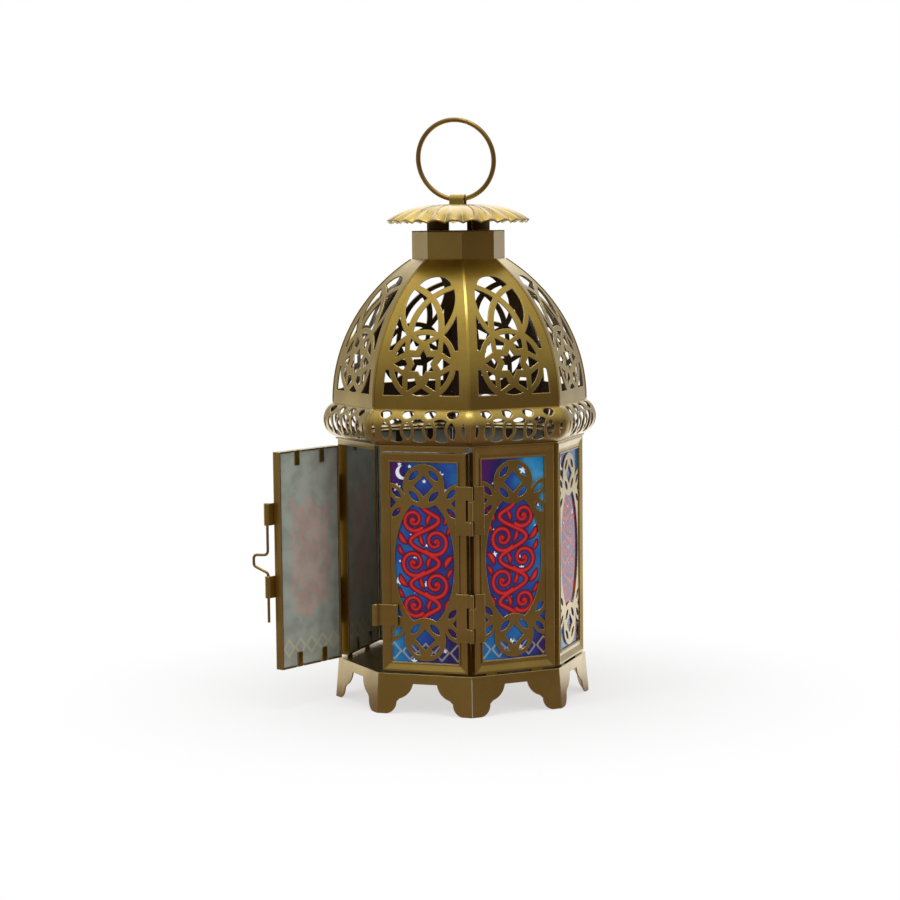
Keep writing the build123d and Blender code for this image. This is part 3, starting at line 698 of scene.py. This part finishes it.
SCROLL_PITCH = 9.2
SCROLL_ROWS = (-2, -1, 0, 1, 2)
STEM_REACH = 25.5
STEM_SWAY = 6.4
STEM_END = 27.5
STEM_TAPER = 8
STEM_BRUSH = 0.9
STEM_STEPS = 420
CURL_OUT = 4.9
CURL_RADIUS = 6.0
END_CURL_RADIUS = 5.0
CURL_START = 47
CURL_TURNS = 1.55
CURL_WIND = 0.86
CURL_BRUSH = 0.95
CURL_THINNING = 0.3
CURL_BUD = 1.05
CURL_STEPS = 140
LEAF_BEND = 0.5
LEAF_POINT = 0.12
LEAF_FULLNESS = 0.9
LEAF_STEPS = 40
SCROLL_LEAVES = (
    {"out": -10.2, "rise": 1.0, "length": 6.4, "lean": 34, "brush": 1.0},
    {"out": -1.6, "rise": 0.4, "length": 5.2, "lean": 18, "brush": 0.8},
    {"out": 11.0, "rise": 0.55 * SCROLL_PITCH, "length": 4.6, "lean": -28, "brush": 0.75},
)
TRIM_LEVEL = -38.5
TRIM_PITCH = 7.2
TRIM_COLUMNS = (-2, -1, 0, 1, 2)
TRIM_HALF_WIDTH = 3.2
TRIM_HALF_HEIGHT = 3.6
TRIM_BRUSH = 0.28
TRIM_STEPS = 12
MOON_PLACE = (-9.8, 38.6)
MOON_RADIUS = 3.0
MOON_BITE = (0.42, 0.2)
MOON_BITE_RADIUS = 0.88
SKY_MIDDLE = 0.5
SKY_TWIST = 0.34
SKY_LEANS = (-0.1, 0.25)
FIELD_FAR = 50.0
FIELD_LIMIT = 4.0
STROKES_AT_ONCE = 200
PRINT_STEP = 0.45 * MM
PANE_SHIFT = np.array([137.0, 61.0])


def curl(across, up, radius, first, turns):
    """Spiral tendril that winds in to a round bud."""
    strokes = []
    for step in np.linspace(0, 1, CURL_STEPS):
        turn = math.radians(first + 360 * turns * step)
        reach = radius * (1 - CURL_WIND * step)
        brush = CURL_BRUSH * (1 - CURL_THINNING * step)
        strokes.append((across + reach * math.cos(turn), up + reach * math.sin(turn), brush))
    strokes.append((across, up, CURL_BRUSH * CURL_BUD))
    return strokes


def leaf(across, up, length, lean, brush):
    """Pointed leaf along a slightly bent line."""
    strokes = []
    for step in np.linspace(0, 1, LEAF_STEPS):
        turn = math.radians(lean) + LEAF_BEND * (step - 0.5)
        along = length * (step - 0.5)
        wide = LEAF_POINT + brush * math.sin(math.pi * step) ** LEAF_FULLNESS
        strokes.append((across + along * math.cos(turn), up + along * math.sin(turn), wide))
    return strokes


def running_scroll(mirrored):
    """Wavy stem with curls and leaves that climbs the pane, as places with stroke half-widths."""
    strokes = []
    for up in np.linspace(-STEM_REACH, STEM_REACH, STEM_STEPS):
        sway = STEM_SWAY * min(1, (STEM_END - abs(up)) / STEM_TAPER)
        strokes.append((-sway * math.cos(math.pi * up / SCROLL_PITCH), up, STEM_BRUSH))
    for row in SCROLL_ROWS:
        side = 1 if row % 2 == 0 else -1
        level = row * SCROLL_PITCH
        at_end = row in (SCROLL_ROWS[0], SCROLL_ROWS[-1])
        radius = END_CURL_RADIUS if at_end else CURL_RADIUS
        strokes += curl(side * CURL_OUT, level, radius, -90 - side * CURL_START, side * CURL_TURNS)
        for sort in SCROLL_LEAVES:
            across = side * sort["out"]
            lean = 90 + side * sort["lean"]
            strokes += leaf(across, level + sort["rise"], sort["length"], lean, sort["brush"])
    shape = np.array(strokes)
    if mirrored:
        shape[:, 0] *= -1
    return shape


def foot_trim():
    """Pale row of small diamonds near the pane's foot."""
    strokes = []
    for column in TRIM_COLUMNS:
        for corner in range(4):
            first = math.radians(90 * corner)
            second = math.radians(90 * corner + 90)
            for step in np.linspace(0, 1, TRIM_STEPS):
                across = TRIM_HALF_WIDTH * ((1 - step) * math.cos(first) + step * math.cos(second))
                up = TRIM_HALF_HEIGHT * ((1 - step) * math.sin(first) + step * math.sin(second))
                strokes.append((TRIM_PITCH * column + across, TRIM_LEVEL + up, TRIM_BRUSH))
    return np.array(strokes)


def stroke_field(points, strokes):
    """Distance of each point from the nearest stroke's edge, below zero inside it."""
    field = np.full(len(points), FIELD_FAR)
    for first in range(0, len(strokes), STROKES_AT_ONCE):
        part = strokes[first:first + STROKES_AT_ONCE]
        apart = np.hypot(points[:, None, 0] - part[None, :, 0], points[:, None, 1] - part[None, :, 1])
        field = np.minimum(field, (apart - part[None, :, 2]).min(axis=1))
    return np.clip(field, -FIELD_LIMIT, FIELD_LIMIT)


def crescent_field(points):
    """Distance from a crescent: inside one circle and outside another beside it."""
    across = points[:, 0] - MOON_PLACE[0]
    up = points[:, 1] - MOON_PLACE[1]
    outer = np.hypot(across, up) - MOON_RADIUS
    bite_across = across - MOON_BITE[0] * MOON_RADIUS
    bite_up = up - MOON_BITE[1] * MOON_RADIUS
    inner = np.hypot(bite_across, bite_up) - MOON_BITE_RADIUS * MOON_RADIUS
    return np.clip(np.maximum(outer, -inner), -FIELD_LIMIT, FIELD_LIMIT)


def print_fields(flat, half_width, half_height, number):
    """What the print needs at each point of a pane: scroll, sky tone, crescent and foot trim."""
    even = number % 2 == 0
    across = flat[:, 0] / half_width
    up = flat[:, 1] / half_height
    lean = SKY_LEANS[number % 2]
    sky = SKY_MIDDLE + SKY_TWIST * across * up + lean * across * (1 - up ** 2)
    moon = crescent_field(flat) if even else np.full(len(flat), FIELD_LIMIT)
    return {
        "scroll": stroke_field(flat, running_scroll(even)),
        "sky": sky,
        "moon": moon,
        "trim": stroke_field(flat, foot_trim()),
    }


def facet_turn(number, opened):
    turn = Matrix.Rotation(FACET_TURN * number, 4, "Z")
    if opened:
        swing = Matrix.Rotation(-LEFT_DOOR_OPEN, 4, "Z")
        turn = Matrix.Translation(LEFT_DOOR_AXIS) @ swing @ Matrix.Translation(-LEFT_DOOR_AXIS) @ turn
    return np.array(turn)


def pane_mesh(name, half_width, bottom, top, number, opened):
    """Pane with a fine front and back grid that carries the print, and plain cut edges."""
    columns = int(2 * half_width / PRINT_STEP)
    rows = int((top - bottom) / PRINT_STEP)
    half_height = (top - bottom) / 2
    along = np.linspace(-half_width, half_width, columns)
    upward = np.linspace(-half_height, half_height, rows)
    grid_along, grid_up = (part.ravel() for part in np.meshgrid(along, upward))
    flat = np.stack([grid_along, grid_up], axis=1) / MM
    count = columns * rows
    front = np.stack([grid_along, np.full(count, -GLASS_FRONT), grid_up + (top + bottom) / 2], axis=1)
    back = front + np.array([0, GLASS_THICKNESS, 0])
    turn = facet_turn(number, opened)
    points = np.concatenate([front, back]) @ turn[:3, :3].T + turn[:3, 3]
    cells = np.arange(count).reshape(rows, columns)
    corners = [cells[:-1, :-1], cells[:-1, 1:], cells[1:, 1:], cells[1:, :-1]]
    quads = np.stack(corners, axis=-1).reshape(-1, 4)
    rim = np.concatenate([cells[0, :-1], cells[:-1, -1], cells[-1, :0:-1], cells[:0:-1, 0]])
    after = np.roll(rim, -1)
    walls = np.stack([rim, rim + count, after + count, after], axis=-1)
    faces = np.concatenate([quads, quads[:, ::-1] + count, walls])
    mesh = bpy.data.meshes.new(name)
    mesh.from_pydata(points.tolist(), [], faces.tolist())
    for finish in (PRINT_FRONT, MILKY_BACK, GLASS_EDGE):
        mesh.materials.append(finish)
    kinds = np.repeat([0, 1, 2], [len(quads), len(quads), len(walls)])
    mesh.polygons.foreach_set("material_index", kinds.astype(np.int32))
    for field, values in print_fields(flat, half_width / MM, half_height / MM, number).items():
        stored = mesh.attributes.new(field, "FLOAT", "POINT")
        stored.data.foreach_set("value", np.concatenate([values, values]).astype(np.float32))
    owners = np.zeros(len(mesh.loops), np.int32)
    mesh.loops.foreach_get("vertex_index", owners)
    spread = np.concatenate([flat, flat]) + number * PANE_SHIFT
    mesh.uv_layers.new(name="pane").data.foreach_set("uv", spread[owners].astype(np.float32).ravel())
    mesh.update()
    return mesh


def add_pane(node, number, half_width, opened=False):
    low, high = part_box(node)
    mesh = pane_mesh(node + "_print", half_width, low.z, high.z, number, opened)
    stands_for(link_mesh(node + "_print", mesh), node)


add_bead("right_door_bead", "right_door_pane", 1, facet_turn(RIGHT_DOOR_FACET, False))
add_bead("left_door_bead", "left_door_pane", 1, facet_turn(LEFT_DOOR_FACET, True))
add_bead("side_panel_beads", "side_pane_1", FACETS - 2, facet_turn(1, False))
add_pane("right_door_pane", RIGHT_DOOR_FACET, DOOR_PANE_HALF_WIDTH)
add_pane("left_door_pane", LEFT_DOOR_FACET, DOOR_PANE_HALF_WIDTH, opened=True)
for number in range(1, FACETS - 1):
    add_pane(f"side_pane_{number}", number, SIDE_PANE_HALF_WIDTH)


# Studio: pale floor, white surroundings, soft lamps, and the camera of the photograph

CAMERA_PLACE = Vector((0.33828, -1.01219, 0.21085))
CAMERA_AIM = Vector((0, 0, 0.1))
CAMERA_SIDE = Vector((CAMERA_PLACE.x, CAMERA_PLACE.y, 0)).normalized()
CAMERA_SENSOR = 36.0
CAMERA_LENS = 96.55
CAMERA_SHIFT = (-0.01184, 0.02328)
CAMERA_ROLL = math.radians(-0.58)
CAMERA_NEAR = 0.05
CAMERA_FAR = 20.0

# Floor, fill light and lamps: place, aim and size in metres, power in watts
FLOOR_RADIUS = 4.0
FLOOR_SIDES = 96
FLOOR_COLOUR = (0.86, 0.86, 0.86, 1)
FLOOR_ROUGHNESS = 0.9
SHADOW_REACH = (0.05, 0.2)
SHADOW_WHITE = 0.62
FILL_COLOUR = (0.6, 0.6, 0.6, 1)
WHITE = (1, 1, 1, 1)
LAMPS = (
    {"name": "key_softbox", "place": (-0.7, -0.9, 0.9), "aim": (0, 0, 0.12), "size": (0.6, 0.6),
     "power": 4.0, "in_gloss": False},
    {"name": "right_softbox", "place": (0.95, -0.6, 0.5), "aim": (0, 0, 0.12), "size": (0.5, 0.8),
     "power": 3.4, "in_gloss": False},
    {"name": "ridge_softbox", "place": (0.13, -0.29, 1.3), "aim": (0, 0, 0.17), "size": (0.5, 0.5),
     "power": 2.8, "in_gloss": True},
)

# Tones of the room in gloss, and where one gives way to the next
ROOM = {
    "front left": (0.23, 0.20, 0.19, 1),
    "front right": (0.11, 0.085, 0.085, 1),
    "front high": (0.92, 0.88, 0.72, 1),
    "back left": (0.5, 0.49, 0.47, 1),
    "back right": (0.5, 0.49, 0.48, 1),
    "back high": (1.65, 1.6, 1.42, 1),
    "back sides high": (0.45, 0.44, 0.41, 1),
    "floor behind": (1.2, 1.2, 1.22, 1),
    "floor in front": (0.24, 0.175, 0.165, 1),
}
FRONT_SIDES = (-0.6, 0.7)
FRONT_RISE = (0.1, 1.0)
BACK_SIDES = (-0.4, 0.6)
BACK_SIDE_RISE = (0.08, 0.35)
BACK_MIDDLE = (0.5, 0.2)
BACK_RISE = (0.05, 0.4)
BACK_TO_FRONT = (-0.5, 0.15)
FLOOR_TO_FRONT = (-0.5, 0.1)
FLOOR_LINE = (0.0, -0.2)


def room_group():
    """Tone of the room that gloss mirrors, by direction: dim in front, bright behind and above."""
    tree = bpy.data.node_groups.new("room_tone", "ShaderNodeTree")
    new_socket(tree, "Direction", "INPUT", "NodeSocketVector")
    new_socket(tree, "Color", "OUTPUT", "NodeSocketColor")
    way = tree.nodes.new("NodeGroupInput").outputs["Direction"]
    right = Vector((-CAMERA_SIDE.y, CAMERA_SIDE.x, 0))
    ahead = vector_maths(tree, "DOT_PRODUCT", "Value", way, CAMERA_SIDE)
    aside = vector_maths(tree, "DOT_PRODUCT", "Value", way, right)
    upward = put(tree, "ShaderNodeSeparateXYZ", Vector=way).outputs[2]
    near = mix_colour(tree, ramp_range(tree, aside, *FRONT_SIDES), ROOM["front left"], ROOM["front right"])
    high = ramp_range(tree, upward, *FRONT_RISE, kind="LINEAR")
    near = mix_colour(tree, high, near, ROOM["front high"])
    far = mix_colour(tree, ramp_range(tree, aside, *BACK_SIDES), ROOM["back left"], ROOM["back right"])
    far = mix_colour(tree, ramp_range(tree, upward, *BACK_SIDE_RISE), far, ROOM["back sides high"])
    straight = ramp_range(tree, maths(tree, "ABSOLUTE", aside), *BACK_MIDDLE)
    behind = maths(tree, "MULTIPLY", straight, ramp_range(tree, upward, *BACK_RISE))
    far = mix_colour(tree, behind, far, ROOM["back high"])
    above = mix_colour(tree, ramp_range(tree, ahead, *BACK_TO_FRONT), far, near)
    forward = ramp_range(tree, ahead, *FLOOR_TO_FRONT)
    under = mix_colour(tree, forward, ROOM["floor behind"], ROOM["floor in front"])
    tone = mix_colour(tree, ramp_range(tree, upward, *FLOOR_LINE), above, under)
    out = tree.nodes.new("NodeGroupOutput").inputs
    tree.links.new(tone, out["Color"])
    return tree


ROOM_TONE = room_group()


def mirror_ray(tree):
    """One for rays that come off glossy or clear surfaces."""
    light = tree.nodes.new("ShaderNodeLightPath").outputs
    return maths(tree, "MAXIMUM", light["Is Glossy Ray"], light["Is Transmission Ray"])


def mix_shader(tree, share, first, second):
    node = tree.nodes.new("ShaderNodeMixShader")
    for value, socket in zip((share, first, second), node.inputs):
        connect(tree, value, socket)
    return node.outputs[0]


def studio_floor():
    mesh = bpy.data.meshes.new("studio_floor")
    work = bmesh.new()
    bmesh.ops.create_circle(work, cap_ends=True, segments=FLOOR_SIDES, radius=FLOOR_RADIUS)
    work.to_mesh(mesh)
    work.free()
    floor = link_mesh("studio_floor", mesh)
    material, tree, shader = new_material("pale_floor")
    shader.inputs["Base Color"].default_value = FLOOR_COLOUR
    shader.inputs["Roughness"].default_value = FLOOR_ROUGHNESS
    shader.inputs["Specular IOR Level"].default_value = 0.0
    plain = shader.outputs[0]
    white = put(tree, "ShaderNodeEmission", Strength=1.0).outputs[0]
    place = tree.nodes.new("ShaderNodeTexCoord").outputs["Object"]
    away = vector_maths(tree, "LENGTH", "Value", place)
    seen = mix_shader(tree, ramp_range(tree, away, *SHADOW_REACH, SHADOW_WHITE, 1.0), plain, white)
    way = vector_maths(tree, "SUBTRACT", "Vector", place, CAMERA_AIM)
    way = vector_maths(tree, "NORMALIZE", "Vector", way)
    tone = placed_group(tree, ROOM_TONE, Direction=way)["Color"]
    mirrored = put(tree, "ShaderNodeEmission", Color=tone, Strength=1.0).outputs[0]
    light = tree.nodes.new("ShaderNodeLightPath").outputs
    unseen = mix_shader(tree, mirror_ray(tree), plain, mirrored)
    final = mix_shader(tree, light["Is Camera Ray"], unseen, seen)
    tree.links.new(final, tree.nodes["Material Output"].inputs[0])
    mesh.materials.append(material)


def studio_world():
    """White surroundings for the camera, plain fill light, and the room's tone in gloss."""
    world = bpy.data.worlds.new("studio")
    scene.world = world
    world.use_nodes = True
    tree = world.node_tree
    way = tree.nodes.new("ShaderNodeTexCoord").outputs["Generated"]
    tone = placed_group(tree, ROOM_TONE, Direction=way)["Color"]
    lit = mix_colour(tree, mirror_ray(tree), FILL_COLOUR, tone)
    light = tree.nodes.new("ShaderNodeLightPath").outputs
    background = tree.nodes["Background"]
    connect(tree, mix_colour(tree, light["Is Camera Ray"], lit, WHITE), background.inputs["Color"])
    background.inputs["Strength"].default_value = 1.0


def lamp(name, place, aim, size, power, in_gloss):
    light = bpy.data.lights.new(name, "AREA")
    light.shape = "RECTANGLE"
    light.size = size[0]
    light.size_y = size[1]
    light.energy = power
    holder = bpy.data.objects.new(name, light)
    scene.collection.objects.link(holder)
    holder.location = place
    way = Vector(aim) - Vector(place)
    holder.rotation_mode = "QUATERNION"
    holder.rotation_quaternion = way.to_track_quat("-Z", "Y")
    holder.visible_glossy = in_gloss


def photo_camera():
    camera = bpy.data.cameras.new("photo_camera")
    camera.sensor_width = CAMERA_SENSOR
    camera.lens = CAMERA_LENS
    camera.shift_x = CAMERA_SHIFT[0]
    camera.shift_y = CAMERA_SHIFT[1]
    camera.clip_start = CAMERA_NEAR
    camera.clip_end = CAMERA_FAR
    holder = bpy.data.objects.new("photo_camera", camera)
    scene.collection.objects.link(holder)
    holder.location = CAMERA_PLACE
    way = CAMERA_AIM - CAMERA_PLACE
    holder.rotation_mode = "QUATERNION"
    roll = Quaternion((0, 0, 1), CAMERA_ROLL)
    holder.rotation_quaternion = way.to_track_quat("-Z", "Y") @ roll
    scene.camera = holder


studio_floor()
studio_world()
for softbox in LAMPS:
    lamp(**softbox)
photo_camera()
scene.view_settings.view_transform = "Standard"
